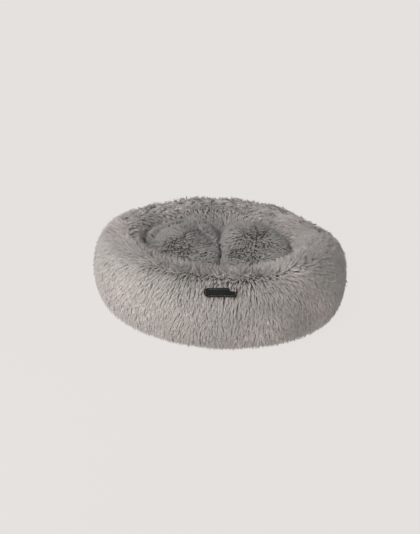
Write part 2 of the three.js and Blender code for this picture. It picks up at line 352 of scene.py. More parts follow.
# %% the seat's shape
seat_low, seat_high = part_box("seat_cover_top")
seat_base_low, seat_base_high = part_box("seat_cover_bottom")
seat_half = (seat_high.x - seat_low.x) / 2
seat_widest = seat_low.z + 64 * mm
seat_depth = 6 * mm
seat_squareness_top = 4.6
seat_squareness_below = 5.0
seat_flare = 26 * mm
seat_overfill = 5 * mm
seat_roll = 26 * mm
seat_roll_at = 150
seat_roll_reach = 34
seat_dip = 18 * mm
crown_height = 11 * mm
crown_radius = 0.12
crown_centres = ([-0.090, 0.035], [0.092, 0.050])
crease_x = 3 * mm
deep_crease = (
    [(crease_x, 0.060), (0.003, -0.05), (-0.004, -0.18)], 0.085, (0.015, 0.014, 0.018)
)  # fmt: skip
folds = [
    # the line of each fold, its depth, and how far its pillow shape reaches at each point
    ([(crease_x, 0.200), (crease_x, 0.110), (crease_x, 0.035)], 0.070, (0.095, 0.058, 0.024)),
    deep_crease,
    ([(-0.165, 0.010), (-0.135, 0.080), (-0.076, 0.112), (-0.025, 0.105)], 0.034, (0.026,) * 4),
    ([(-0.046, 0.105), (-0.056, 0.02), (-0.050, -0.08)], 0.015, (0.020, 0.028, 0.026)),
    ([(-0.175, -0.010), (-0.130, -0.030)], 0.016, (0.030, 0.022)),
    ([(0.075, -0.170), (0.066, -0.110)], 0.014, (0.030, 0.026)),
    ([(0.175, 0.060), (0.140, 0.050)], 0.012, (0.028, 0.020)),
]
lobe_centres = np.array([[-0.083, 0.004], [0.086, 0.055]])  # where the fur parts on each lobe


def fold_nearness(xy, line, reaches):
    """1 on the fold's line, falling to 0 at its reach."""
    nearest = np.zeros(xy.shape[:-1])
    for start, end, first, last in zip(line[:-1], line[1:], reaches[:-1], reaches[1:]):
        start, end = np.array(start), np.array(end)
        along = np.clip(((xy - start) @ (end - start)) / ((end - start) @ (end - start)), 0, 1)
        off = np.linalg.norm(xy - start - along[..., None] * (end - start), axis=-1)
        nearest = np.maximum(nearest, 1 - off / (first + (last - first) * along))
    return nearest


def seat_surface(angle, section, inset, bottom_inset):
    across, up = np.cos(section), np.sin(section)
    squareness = np.where(up > 0, seat_squareness_top, seat_squareness_below)
    half = seat_half - inset
    top_height = seat_high.z - seat_widest - inset + seat_overfill
    bottom_height = seat_widest - seat_low.z - bottom_inset
    squeeze = 1 + out_of_round / crest_circle * np.cos(2 * (angle - out_of_round_angle))
    roll = seat_roll * bump(angle, seat_roll_at, seat_roll_reach)
    flare = (seat_flare + roll) * np.clip(up, 0, 1)
    radius = (half + flare) * squared(across, squareness) * squeeze
    height = seat_widest + np.where(up > 0, top_height, bottom_height) * squared(up, squareness)
    xy = np.stack([radius * np.cos(angle), radius * np.sin(angle)], -1)
    sink = np.zeros_like(height)
    for line, depth, reaches in folds:
        near = fold_nearness(xy, line, reaches)
        sink = np.maximum(sink, depth * (1 - np.sqrt(np.maximum(1 - near**2, 0))))
    crown = sum(
        crown_height * np.exp(-((np.linalg.norm(xy - centre, axis=-1) / crown_radius) ** 2))
        for centre in crown_centres
    )
    dip = seat_dip * np.clip(0.1 - xy[..., 1] / seat_half, 0, 1)
    fade = np.clip(up * 2.2 + 0.25, 0, 1)
    return np.concatenate([xy, (height + fade * (crown - sink - dip))[..., None]], -1)


def seat_of(name, angles, sections, inset, bottom_inset):
    """Rows crowd together towards the top, where the folds are."""
    angle, section = grid(
        np.linspace(0, 2 * np.pi, angles, endpoint=False),
        np.pi / 2 - np.linspace(0, 1, sections) ** 0.8 * np.pi,
    )
    return closed_mesh(name, seat_surface(angle, section, inset, bottom_inset), poles=True)


cloth_gap = 1.6 * mm
seat_backing = seat_of("seat_backing", 200, 80, seat_depth, cloth_gap)
seat_wadding = seat_of("seat_wadding", 120, 48, seat_depth + 5 * mm, cloth_gap + 3 * mm)
print("backings:", len(rim_backing.data.polygons), len(seat_backing.data.polygons), "faces")

# %% [markdown]
# ## Filling the bags
#
# A stuffed bag isn't a smooth solid: its cloth is pushed out from inside, and held back
# by its seams and folds. Cloth with a little air pressure does the same. The bag is
# first remeshed into even squares, and afterwards no point may lie further from its
# start than a cap, so that the bag keeps its size.

# %% cloth under pressure
cloth_frames = 20
cloth_stiffness = 12


def inflate(piece, voxel, pressure, cap, hold):
    """Push the bag's cloth outwards. hold gives each point's share of pinning, 0 to 1."""
    scene = bpy.context.scene
    remesh = piece.modifiers.new("even squares", "REMESH")
    remesh.mode = "VOXEL"
    remesh.voxel_size = voxel
    graph = bpy.context.evaluated_depsgraph_get()
    even = bpy.data.meshes.new_from_object(piece.evaluated_get(graph))
    piece.modifiers.clear()
    piece.data = even
    count = len(even.vertices)
    start = np.empty(count * 3)
    even.vertices.foreach_get("co", start)
    start = start.reshape(-1, 3)

    pinned = piece.vertex_groups.new(name="seams")
    for i, share in enumerate(hold(start)):
        pinned.add([i], float(share), "REPLACE")
    cloth = piece.modifiers.new("cloth", "CLOTH")
    cloth.settings.quality = 4
    cloth.settings.use_pressure = True
    cloth.settings.uniform_pressure_force = pressure
    cloth.settings.effector_weights.gravity = 0
    cloth.settings.vertex_group_mass = "seams"
    cloth.settings.tension_stiffness = cloth_stiffness
    cloth.settings.compression_stiffness = cloth_stiffness
    cloth.settings.bending_stiffness = 0.4
    cloth.collision_settings.use_collision = False
    for step in range(1, cloth_frames + 1):
        scene.frame_set(step)
    graph = bpy.context.evaluated_depsgraph_get()
    filled = bpy.data.meshes.new_from_object(piece.evaluated_get(graph))
    end = np.empty(count * 3)
    filled.vertices.foreach_get("co", end)
    move = end.reshape(-1, 3) - start
    far = np.linalg.norm(move, axis=1, keepdims=True)
    end = start + move * np.minimum(1, cap / np.maximum(far, 1e-9))
    piece.modifiers.clear()
    piece.vertex_groups.clear()
    piece.data = filled
    filled.vertices.foreach_set("co", end.ravel())
    filled.polygons.foreach_set("use_smooth", [True] * len(filled.polygons))
    filled.update()
    scene.frame_set(1)
    print(f"{piece.name}: {count} points moved {1000 * far.mean():.1f} mm on average")


rim_held_below = 25 * mm
seat_held_below = seat_low.z + 12 * mm
bag_pressure = 4.0


def rim_seams(points):
    """The ring's cover is held where it is sewn to the base."""
    return np.where(points[:, 2] < rim_held_below, 1.0, 0.0)


def seat_seams(points):
    """The seat is held at its base and, less firmly, along its folds."""
    share = np.where(points[:, 2] < seat_held_below, 1.0, 0.0)
    for line, _, reaches in folds:
        near = np.clip(2 * fold_nearness(points[:, :2], line, reaches) - 1, 0, 1)
        share = np.maximum(share, np.where(points[:, 2] > seat_widest, near, 0))
    return share


inflate(rim_backing, voxel=7 * mm, pressure=bag_pressure, cap=5 * mm, hold=rim_seams)
inflate(seat_backing, voxel=5 * mm, pressure=bag_pressure, cap=7 * mm, hold=seat_seams)

# %% [markdown]
# ## Fur
#
# Long pile is a lock of fine fibres that stick together towards their tips. Each
# strand here is a thin closed horn, curved by its lean and by its own weight. Strands
# are scattered over the backing, and each is drawn towards the tip of its lock. Real
# fibres are far thinner; these are as fine as can be seen in a picture of the bed.

# %% scattering roots
def scatter(piece, count, random, keep):
    """count points spread evenly over the piece's faces that keep allows, with normals."""
    mesh = piece.data
    mesh.calc_loop_triangles()
    corners = np.empty(len(mesh.loop_triangles) * 3, np.int32)
    mesh.loop_triangles.foreach_get("vertices", corners)
    places = np.empty(len(mesh.vertices) * 3)
    mesh.vertices.foreach_get("co", places)
    normals = np.empty(len(mesh.vertices) * 3)
    mesh.vertices.foreach_get("normal", normals)
    places, normals = places.reshape(-1, 3), normals.reshape(-1, 3)
    a, b, c = (places[corners.reshape(-1, 3)[:, k]] for k in range(3))
    face = np.cross(b - a, c - a)
    area = np.linalg.norm(face, axis=1) / 2
    area = np.where(keep((a + b + c) / 3, unit(face)), area, 0)
    total = np.cumsum(area)
    pick = np.searchsorted(total, (np.arange(count) + random.random(count)) / count * total[-1])
    pick = np.minimum(pick, len(area) - 1)
    share = random.random((count, 2))
    share = np.where(share.sum(1, keepdims=True) > 1, 1 - share, share)
    weights = np.concatenate([1 - share.sum(1, keepdims=True), share], 1)[..., None]
    three = corners.reshape(-1, 3)[pick]
    return (places[three] * weights).sum(1), unit((normals[three] * weights).sum(1)), total[-1]


# %% curving a strand
steps = np.array([0.0, 0.36, 0.7, 1.0])  # a strand's four points, as shares of its length


def strand_curves(root, normal, flow, length, lean_root, lean_tip, sag):
    """Each strand's four points: it starts off near the normal and bends to its flow."""
    down = np.array([0, 0, -1.0])
    start = unit(normal * np.cos(lean_root)[:, None] + flow * np.sin(lean_root)[:, None])
    end = normal * np.cos(lean_tip)[:, None] + flow * np.sin(lean_tip)[:, None]
    end = unit(end + down * sag[:, None])
    t = steps[None, :, None]
    way = start[:, None] * (t - t * t / 2) + end[:, None] * (t * t / 2)
    return root[:, None] + length[:, None, None] * way


def turn_about(normal, flow, angle):
    return flow * np.cos(angle)[:, None] + np.cross(normal, flow) * np.sin(angle)[:, None]


# %% [markdown]
# Light scatters between the fibres of a dense pile, so it is shaded more like the cloth
# under it than like separate wires. Each strand's shading normals are therefore turned
# part of the way to the normal of its skin.

# %% a mesh of strands
strand_points = 10  # three rings of three, and a tip
strand_taper = np.array([0.8, 1.0, 0.72])
strand_faces = [
    [0, 1, 4, 3], [1, 2, 5, 4], [2, 0, 3, 5],
    [3, 4, 7, 6], [4, 5, 8, 7], [5, 3, 6, 8],
    [6, 7, 9], [7, 8, 9], [8, 6, 9],
    [2, 1, 0],
]  # fmt: skip
strand_loops = np.array([corner for face in strand_faces for corner in face], np.int32)
strand_starts = np.cumsum([0] + [len(face) for face in strand_faces[:-1]]).astype(np.int32)
skin_share = 0.55
tone_spread = 0.0012  # keeps the faces of a strand apart in the UV map


def fur_piece(name, curves, normal, radius, tone, material):
    """Closed three-sided horns along the curves. The UV map holds each strand's tone
    across and its place from root to tip upwards, and the material reads only that."""
    count = len(curves)
    along = unit(np.diff(curves, axis=1))
    along = np.concatenate([along, along[:, -1:]], 1)[:, :3]
    side = unit(np.cross(along, normal[:, None]))
    over = np.cross(side, along)
    thickness = radius[:, None] * strand_taper
    points = np.empty((count, strand_points, 3))
    facing = np.empty((count, strand_points, 3))
    for k in range(3):
        turn = 2 * np.pi * k / 3
        ring = math.cos(turn) * over + math.sin(turn) * side
        points[:, k:9:3] = curves[:, :3] + thickness[..., None] * ring
        facing[:, k:9:3] = ring
    points[:, 9] = curves[:, 3]
    facing[:, 9] = along[:, -1]

    mesh = bpy.data.meshes.new(name)
    mesh.vertices.add(count * strand_points)
    mesh.vertices.foreach_set("co", points.ravel())
    order = np.arange(count, dtype=np.int32)[:, None]
    loops = (strand_loops[None] + strand_points * order).ravel()
    mesh.loops.add(len(loops))
    mesh.loops.foreach_set("vertex_index", loops)
    starts = strand_starts[None] + len(strand_loops) * order
    mesh.polygons.add(starts.size)
    mesh.polygons.foreach_set("loop_start", starts.ravel())
    mesh.update(calc_edges=True)
    mesh.shade_smooth()
    facing = unit((1 - skin_share) * facing + skin_share * normal[:, None])
    mesh.normals_split_custom_set_from_vertices(facing.reshape(-1, 3))

    level = np.repeat(steps, 3)[:strand_points]
    across = np.tile([-tone_spread, 0, tone_spread], 4)[:strand_points]
    u = tone[:, None] + across[None, strand_loops]
    v = np.broadcast_to(0.02 + 0.96 * level[strand_loops], u.shape)
    layer = mesh.uv_layers.new(name="OFBake")
    layer.data.foreach_set("uv", np.stack([u, v], -1).ravel().astype(np.float32))
    mesh.materials.append(material)
    return link_mesh(name, mesh)


# %% [markdown]
# The fur is solution-dyed polyester pile. Its roots are painted darker than its tips, as
# painted shade deep in the pile, and neighbouring patches lean to warm pink or to a cool
# green grey. The seat's pile is the same cloth, painted a little darker as painted shade
# in the well. A weak sheen stands for the light that fine fibres scatter at their edges,
# and the palest tone for fibres that let light through.

# %% fur materials
def fur_material(name, painted_root_shade, stops):
    """Pile whose colour runs through stops with the strand's tone, and whose root is painted
    darker by the second colour, as painted shade deep in the pile."""
    material, tree, shader = new_material(
        name, 0.62, Sheen_Weight=0.25, Sheen_Roughness=0.5, Specular_IOR_Level=0.2
    )
    place = add_node(tree, "ShaderNodeUVMap", uv_map="OFBake")
    split = add_node(tree, "ShaderNodeSeparateXYZ", {"Vector": place.outputs["UV"]})
    tone = add_node(tree, "ShaderNodeValToRGB", {"Fac": split.outputs["X"]})
    set_ramp(tone, stops)
    depth = add_node(tree, "ShaderNodeValToRGB", {"Fac": split.outputs["Y"]})
    # painted shade: the root end of each strand is darkened, as shade deep in the pile
    set_ramp(depth, [(0.0, painted_root_shade), (0.6, "#ffffff")])
    mixed = add_node(
        tree,
        "ShaderNodeMix",
        {"Factor": 1.0, "A": tone.outputs["Color"], "B": depth.outputs["Color"]},
        data_type="RGBA",
        blend_type="MULTIPLY",
    )
    tree.links.new(mixed.outputs["Result"], shader.inputs["Base Color"])
    return material


rim_pile = fur_material(
    "polyester_pile_long",
    "#b8b2af",
    [(0.0, "#b7b4ae"), (0.35, "#c2bdb8"), (0.6, "#c9c1be"), (1.0, "#ece4e0")],
)
# The seat's pile is the ring's cloth painted darker, as painted shade in the well.
shaded_seat_pile = fur_material(
    "polyester_pile_seat",
    "#989290",
    [(0.0, "#a6a6a1"), (0.35, "#b2afab"), (0.65, "#bbb6b2"), (1.0, "#bdb4b2")],
)
print("piles:", rim_pile.name, shaded_seat_pile.name)

# %% [markdown]
# A lock has one direction, length and lean, with some chance in each, and its strands
# differ from it a little. Locks that the comb calls upright lean less. A strand is never
# let through the floor or the base cloth.

# %% growing fur on a piece
root_lean = 0.88  # radians from the skin's normal
tip_lean = 1.32
lock_pull = (0.35, 0.9)  # how far a strand's tip is drawn to its lock's
seam_margin = 2 * mm


def grow(piece, spacing, per_lock, seed, keep, comb, lengths, radius, sag, press=None):
    """Locks about one spacing apart, each of per_lock strands. comb gives each lock its
    flow, how upright it is, how far it strays, and how much paler or darker its tone is
    painted, as painted light and shade."""
    random = np.random.default_rng(seed)
    _, _, area = scatter(piece, 1, np.random.default_rng(0), keep)
    locks = 500 * round(area / spacing**2 / 500)
    lock_root, lock_normal, _ = scatter(piece, locks, random, keep)
    tree = kdtree.KDTree(locks)
    for i, place in enumerate(lock_root):
        tree.insert(place, i)
    tree.balance()
    root, normal, _ = scatter(piece, locks * per_lock, random, keep)
    home = np.fromiter((tree.find(place)[1] for place in root), int, len(root))

    flow, upright, stray, painted_light_and_shade = comb(lock_root, lock_normal)
    flow = turn_about(lock_normal, flow, random.normal(0, 1, locks) * stray)
    lean_root = np.clip(random.normal(root_lean, 0.12, locks), 0.3, 1.2) * (1 - 0.8 * upright)
    lean_tip = np.clip(random.normal(tip_lean, 0.08, locks), 0.7, 1.5) * (1 - 0.7 * upright)
    length = lengths[0] + (lengths[1] - lengths[0]) * random.random(locks)
    lock_sag = sag * random.uniform(0.7, 1.3, locks)
    lock_curves = strand_curves(lock_root, lock_normal, flow, length, lean_root, lean_tip, lock_sag)

    count = len(root)
    along = flow[home] - normal * (flow[home] * normal).sum(1, keepdims=True)
    along = turn_about(normal, unit(along), random.normal(0, 0.09, count))
    curves = strand_curves(
        root,
        normal,
        along,
        length[home] * random.uniform(0.75, 1.10, count),
        lean_root[home] + random.normal(0, 0.08, count),
        lean_tip[home] + random.normal(0, 0.08, count),
        lock_sag[home],
    )
    pull = random.uniform(*lock_pull, locks)[home][:, None, None] * (steps**1.2)[None, :, None]
    curves += pull * (lock_curves[home] - curves)
    if press:
        curves = press(curves, random)
    lowest = (0.6 + 2 * random.random((count, 1))) * mm
    over_base = np.linalg.norm(curves[..., :2], axis=-1) < base_radius + seam_margin
    curves[..., 2] = np.maximum(curves[..., 2], lowest + np.where(over_base, cloth_gap, 0))
    patches = 0.13 * drift(root, 0.11, seed + 1) + 0.07 * drift(root, 0.03, seed + 2)
    by_lock = 0.09 * random.normal(size=locks)[home] + painted_light_and_shade[home]
    tone = 0.5 + patches + by_lock + 0.06 * random.normal(size=count)
    thick = radius * random.uniform(0.7, 1.25, count)
    print(f"{piece.name}: {locks} locks, {count} strands over {area:.2f} m2")
    return curves, normal, thick, np.clip(tone, 0.01, 0.99)


# %% [markdown]
# The ring is combed down its outside and down into the well. Its fur parts along a line
# that wanders round the crest: near the front it lies inside the crest, so that the pile
# there stands up in a loose fringe, and at the back it lies outside, so that the pile
# comes over the crest in tousled locks. Fibres that stand against the light let some of
# it through. That isn't traced here, so a paler tone stands for it.

# %% combing the ring
# The parting and its spread are given as the outward share of the skin's normal: 0 is
# the crest, 1 the outermost line and -1 the innermost.
parting_at_side = -0.14
parting_shift_front = -0.65
parting_shift_back = 0.95
parting_shift_right = 0.20
parting_spread = 0.34
fringe_spread = 0.34
crest_behind_middle = 0.25
crest_behind_reach = 0.4
crest_tousle = 1.3
fringe_tousle = 0.6
fringe_glow = 0.42
# painted shade: the fur on the right of the ring is toned darker, away from the lamps
painted_right_shade = 0.12


def comb_rim(points, normal):
    out = unit(points * [1, 1, 0])
    around = np.cross([0, 0, 1.0], out)
    outward = (normal * out).sum(1)
    back = np.clip(out[:, 1], 0, 1)
    near = np.clip(-out[:, 1], 0, 1)
    parting = (
        parting_at_side + parting_shift_front * near + parting_shift_back * back
        + parting_shift_right * out[:, 0] + 0.08 * drift(points, 0.07, 31)
    )  # fmt: skip
    spread = parting_spread + fringe_spread * near
    side = (outward - parting) / spread + 0.35 * drift(points, 0.010, 35)
    flow = np.cross(around, normal) * np.where(side > 0, 1, -1)[:, None]

    front = np.clip(0.30 - 0.95 * out[:, 1], 0.08, 1)
    on_top = np.clip(normal[:, 2] + 0.3, 0, 1)
    loose = np.clip(1.4 - np.abs(side), 0, 1) * on_top
    wander = 0.20 * drift(points, 0.15, 32) + 0.06 * drift(points, 0.05, 33)
    tousle = fringe_tousle * drift(points, 0.03, 34) * loose * front
    flow = turn_about(normal, flow, wander + tousle)
    upright = np.clip(1.3 - np.abs(side), 0, 1) * on_top * front

    off_crest = np.abs(outward - crest_behind_middle) / crest_behind_reach
    crest_behind = back * np.clip(1.3 - off_crest, 0, 1)
    flow = turn_about(normal, flow, crest_tousle * drift(points, 0.025, 36) * crest_behind)
    # painted light and shade: the fringe and the far crest are toned paler, the right side darker
    shade = painted_right_shade * np.clip(out[:, 0] - 0.4, 0, 1)
    painted_light_and_shade = fringe_glow * np.clip(upright + crest_behind, 0, 1) - shade
    return unit(flow), upright, 0.15 + loose * 0.24 * front + 0.25 * crest_behind, painted_light_and_shade


# %% [markdown]
# The sewn-on label lies on the cover and holds the fur down under it. Only a tuft at
# its upper right corner has come loose and lies over it.

# %% pressing the fur under the label
label_low, label_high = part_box("label")
label_slip = 6 * mm  # how far down the slope it has slid from its CAD place
label_slope = math.radians(34.5)
label_out = np.array([0, -math.cos(label_slope), math.sin(label_slope)])
label_up = np.array([0, math.sin(label_slope), math.cos(label_slope)])
label_centre = np.array((label_low + label_high) / 2) - label_slip * label_up
label_half_width = 35 * mm
label_half_height = 10 * mm
label_bend = 343 * mm  # its radius of curvature along its length
label_lift = 4 * mm  # how far the fur under it holds the label off the backing


def press_under_label(curves, random):
    """Hold the fur under the label down, and lay the loose tuft over it."""
    place = curves - label_centre
    above = place @ label_out
    sideways, upward = place[..., 0], place @ label_up
    above = above + sideways**2 / (2 * label_bend)
    edge = 1 * mm
    inside = np.abs(sideways) < label_half_width + edge
    inside &= np.abs(upward) < label_half_height + edge
    tuft = (sideways > 0.6 * label_half_width) & (upward > 0.35 * label_half_height)
    ceiling = label_lift - (2.5 + 2 * random.random(curves.shape[:2])) * mm
    push = np.where(inside & ~tuft, np.minimum(ceiling - above, 0), 0)
    over = label_lift + steps * (1 + 2 * random.random(curves.shape[:2])) * mm
    push = np.where(inside & tuft, np.maximum(over - above, 0), push)
    return curves + push[..., None] * label_out


def outside_of_rim(points, normal):
    """Everywhere but under the ring inside the seam of its base."""
    past_seam = np.linalg.norm(points[:, :2], axis=1) > base_radius + seam_margin
    return past_seam | (normal[:, 2] > -0.75)


# %% the ring's fur, in sectors
curves, normal, thick, tone = grow(
    rim_backing, spacing=4.5 * mm, per_lock=6, seed=7, keep=outside_of_rim, comb=comb_rim,
    lengths=(18 * mm, 25 * mm), radius=0.52 * mm, sag=0.15, press=press_under_label,
)  # fmt: skip


def fur_sectors(name, sectors, material, body, node):
    """The grown fur as one piece for each equal sector of the bed."""
    turn = np.arctan2(curves[:, 0, 1], curves[:, 0, 0]) / (2 * np.pi) % 1
    sector = (turn * sectors).astype(int)
    for i in range(sectors):
        mine = sector == i
        piece = fur_piece(
            f"{name}_{i + 1:02d}", curves[mine], normal[mine], thick[mine], tone[mine], material
        )
        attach(piece, body)
        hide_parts(node)


fur_sectors("rim_fur", 20, rim_pile, "bed", "rim_cover")

# %% [markdown]
# On each lobe of the seat the fur is brushed out from a whorl near its middle and down
# its slopes. Beside the deep crease it turns away from the crease, which keeps the slit
# between the lobes open and dark: deep shade, and the backing there painted dark as
# painted shade.

# %% combing the seat
down_slope = 0.8
seat_tousle = 0.5
crease_reach = 14 * mm
whorl_radius = 70 * mm


def comb_seat(points, normal):
    """Out from the middle of each lobe, down its slope, and away from the crease."""
    lobe = lobe_centres[(points[:, 0] > crease_x).astype(int)]
    away = points[:, :2] - lobe
    flow = np.concatenate([away, np.zeros((len(points), 1))], 1)
    flow = unit(flow) + down_slope * normal * [1, 1, 0]
    flow = unit(flow - normal * (flow * normal).sum(1, keepdims=True))
    flow = turn_about(normal, flow, 0.2 + seat_tousle * drift(points, 0.06, 41))
    crease_side = np.sign(points[:, 0] - crease_x)
    beside = np.clip(1.6 - np.abs(points[:, 0] - crease_x) / crease_reach, 0, 1)[:, None]
    off_crease = crease_side[:, None] * [1.0, 0, 0] + [0, 0.6, 0]
    off_crease = off_crease - normal * (off_crease * normal).sum(1, keepdims=True)
    flow = unit(flow + 1.5 * beside * unit(off_crease))
    upright = np.clip(1 - np.linalg.norm(away, axis=1) / whorl_radius, 0, 1) * 0.35
    return flow, upright, np.full(len(points), 0.25), np.zeros(len(points))


def top_of_seat(points, normal):
    """All of the seat but its base and the bottom of its deep crease."""
    line, _, reaches = deep_crease
    in_crease = fold_nearness(points[:, :2], line, reaches) > 0.8
    return (points[:, 2] > seat_low.z + 3 * mm) & ~in_crease


curves, normal, thick, tone = grow(
    seat_backing, spacing=5.4 * mm, per_lock=9, seed=17, keep=top_of_seat, comb=comb_seat,
    lengths=(12 * mm, 18 * mm), radius=0.48 * mm, sag=0.1,
)  # fmt: skip
curves[..., 2] = np.maximum(curves[..., 2], seat_low.z)
fur_sectors("seat_fur", 8, shaded_seat_pile, "seat", "seat_cover_top")

# %% [markdown]
# ## Cloths
#
# Every cloth here is a plain or twill weave of dyed polyester yarn, so one function
# makes them all. Two bands of ridges cross, one for each set of threads; the ridges
# give the bump, and the hollows between them are painted darker, as painted shade. The
# real threads are a third to a half of a millimetre apart, and are drawn two or three
# times as coarse so that they show. Yarn is dull, with only a weak shine. Slow noise
# wears the colour unevenly.

# %% woven cloth
wave_period = 2 * math.pi / 20  # of Blender's wave texture at scale 1, in metres


def woven(name, hollow, ridge, thread, roughness, lift, direction="X"):
    """Cloth with threads one spacing apart, along direction and across it."""
    material, tree, shader = new_material(name, roughness, Specular_IOR_Level=0.3)
    place = add_node(tree, "ShaderNodeTexCoord")
    worn = add_node(
        tree, "ShaderNodeTexNoise", {"Vector": place.outputs["Object"], "Scale": 25.0, "Detail": 4.0}
    )
    bands = [
        add_node(
            tree,
            "ShaderNodeTexWave",
            {
                "Vector": place.outputs["Object"],
                "Scale": wave_period / thread,
                "Distortion": 0.6,
                "Detail Scale": 1.5,
            },
            bands_direction=way,
        )
        for way in (direction, "Y")
    ]
    both = add_node(
        tree,
        "ShaderNodeMath",
        {0: bands[0].outputs["Fac"], 1: bands[1].outputs["Fac"]},
        operation="MAXIMUM",
    )
    patchy = add_node(
        tree, "ShaderNodeMath", {0: both.outputs["Value"], 1: worn.outputs["Fac"]}, operation="MULTIPLY"
    )
    colour = add_node(tree, "ShaderNodeValToRGB", {"Fac": patchy.outputs["Value"]})
    # painted shade: the first colour darkens the hollows between the threads
    set_ramp(colour, [(0.1, hollow), (0.55, ridge)])
    bump = add_node(
        tree, "ShaderNodeBump", {"Height": both.outputs["Value"], "Distance": lift, "Strength": 0.6}
    )
    tree.links.new(colour.outputs["Color"], shader.inputs["Base Color"])
    tree.links.new(bump.outputs["Normal"], shader.inputs["Normal"])
    return material


# The knit that holds the pile shows only between the locks and in the seat's crease,
# and its dark colour there is painted shade.
shaded_knitted_backing = woven(
    "knitted_polyester_backing", "#403d3b", "#5a5653", thread=1.5 * mm, roughness=0.95, lift=0.3 * mm
)
# Oxford cloth has thick yarns, so its squares catch a little light.
grip_cloth = woven(
    "polyester_oxford_dark", "#2f2d2c", "#55524f", thread=1.2 * mm, roughness=0.85, lift=0.25 * mm
)
# Brushing raises a nap that leaves the well's cloth quite dull.
well_cloth = woven(
    "brushed_polyester_grey", "#77716d", "#9a938e", thread=1.2 * mm, roughness=0.95, lift=0.2 * mm
)
tape_cloth = woven(
    "zip_tape_twill", "#4b4846", "#75716d", thread=0.9 * mm, roughness=0.8, lift=0.15 * mm
)
# Satin floats its yarns on top, so the label is smoother than the cloths around it.
label_satin = woven(
    "label_satin_black", "#030303", "#100f0f",
    thread=0.8 * mm, roughness=0.7, lift=0.12 * mm, direction="Z",
)  # fmt: skip
thread_yarn = woven(
    "sewing_thread_grey", "#6a6562", "#a8a19c", thread=0.5 * mm, roughness=0.6, lift=0.1 * mm
)
border_yarn = woven(
    "label_thread_silver", "#6d6b68", "#b5b2ad", thread=0.5 * mm, roughness=0.5, lift=0.1 * mm
)
print("woven:", shaded_knitted_backing.name, grip_cloth.name, well_cloth.name, label_satin.name)

# %% [markdown]
# The liner is spunbond polypropylene, thermally bonded in a pattern of small dimples.
# The filling is siliconised hollow fibre, a cloud of fine curled strands with a faint
# gloss. The dots of soft PVC on the base and the nylon of the zip's coils are moulded and
# drawn plastics: nearly smooth, with a slight unevenness that breaks up their shine.

# %% non-woven finishes
def fluffy(name, texture, shadow, light, size, roughness, lift):
    """Soft lumps or cells of about one size, darker where they lie low."""
    material, tree, shader = new_material(name, roughness, Specular_IOR_Level=0.3)
    place = add_node(tree, "ShaderNodeTexCoord")
    cells = add_node(tree, texture, {"Vector": place.outputs["Object"], "Scale": 1 / size})
    height = cells.outputs["Distance" if texture.endswith("Voronoi") else "Fac"]
    colour = add_node(tree, "ShaderNodeValToRGB", {"Fac": height})
    set_ramp(colour, [(0.25, shadow), (0.7, light)])
    bump = add_node(tree, "ShaderNodeBump", {"Height": height, "Distance": lift, "Strength": 0.7})
    tree.links.new(colour.outputs["Color"], shader.inputs["Base Color"])
    tree.links.new(bump.outputs["Normal"], shader.inputs["Normal"])
    return material


cell_texture = "ShaderNodeTexVoronoi"
lump_texture = "ShaderNodeTexNoise"
spunbond = fluffy(
    "spunbond_polypropylene", cell_texture, "#a6a29e", "#cdcac6", 2 * mm, 0.7, 0.3 * mm
)
hollow_fibre = fluffy(
    "hollow_fibre_filling", lump_texture, "#b9b7b3", "#e4e2de", 6 * mm, 0.75, 2 * mm
)
soft_pvc = fluffy("soft_pvc_dots", lump_texture, "#1b1a1a", "#32302f", 1.5 * mm, 0.5, 0.1 * mm)
nylon = fluffy(
    "nylon_monofilament", lump_texture, "#56524f", "#7b7672", 1 * mm, 0.35, 0.05 * mm
)
print("not woven:", spunbond.name, hollow_fibre.name, soft_pvc.name, nylon.name)

# %% [markdown]
# The slider, its pull and the end stops are die-cast zinc, plated and tumbled. The
# plating is smooth and grey; handling has dulled it in spots, so the roughness varies
# with the colour.

# %% plated zinc
zinc, tree, shader = new_material("die_cast_zinc_plated", 0.3, Metallic=1.0)
place = add_node(tree, "ShaderNodeTexCoord")
spots = add_node(
    tree, "ShaderNodeTexNoise", {"Vector": place.outputs["Object"], "Scale": 450.0, "Detail": 6.0}
)
tint = add_node(tree, "ShaderNodeValToRGB", {"Fac": spots.outputs["Fac"]})
set_ramp(tint, [(0.3, "#8f8f90"), (0.7, "#b9b9ba")])
dull = add_node(
    tree,
    "ShaderNodeMapRange",
    {"Value": spots.outputs["Fac"], "From Min": 0.3, "From Max": 0.7, "To Min": 0.45, "To Max": 0.25},
)
tree.links.new(tint.outputs["Color"], shader.inputs["Base Color"])
tree.links.new(dull.outputs["Result"], shader.inputs["Roughness"])
print("metal:", zinc.name)

# %% finish the ring's and the seat's skins
def ready(piece, material, body, node):
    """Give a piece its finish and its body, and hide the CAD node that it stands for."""
    piece.data.materials.clear()
    piece.data.materials.append(material)
    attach(piece, body)
    if node:
        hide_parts(node)
    return piece


for piece, material, body, node, slot in (
    (rim_backing, shaded_knitted_backing, "bed", "rim_cover", "fur"),
    (rim_bag, spunbond, "bed", "rim_liner", "lining"),
    (rim_wadding, hollow_fibre, "bed", "rim_fill", "fibre"),
    (seat_backing, shaded_knitted_backing, "seat", "seat_cover_top", "seat_fur"),
    (seat_wadding, hollow_fibre, "seat", "seat_fill", "fibre"),
):
    ready(piece, material, body, node)

# %% [markdown]
# ## Sewing
#
# A stitch is a short length of thread that goes down into the cloth at both ends. One
# function turns any set of short paths into closed tubes that taper at their ends, and
# makes the stitches and the zip's coils alike.

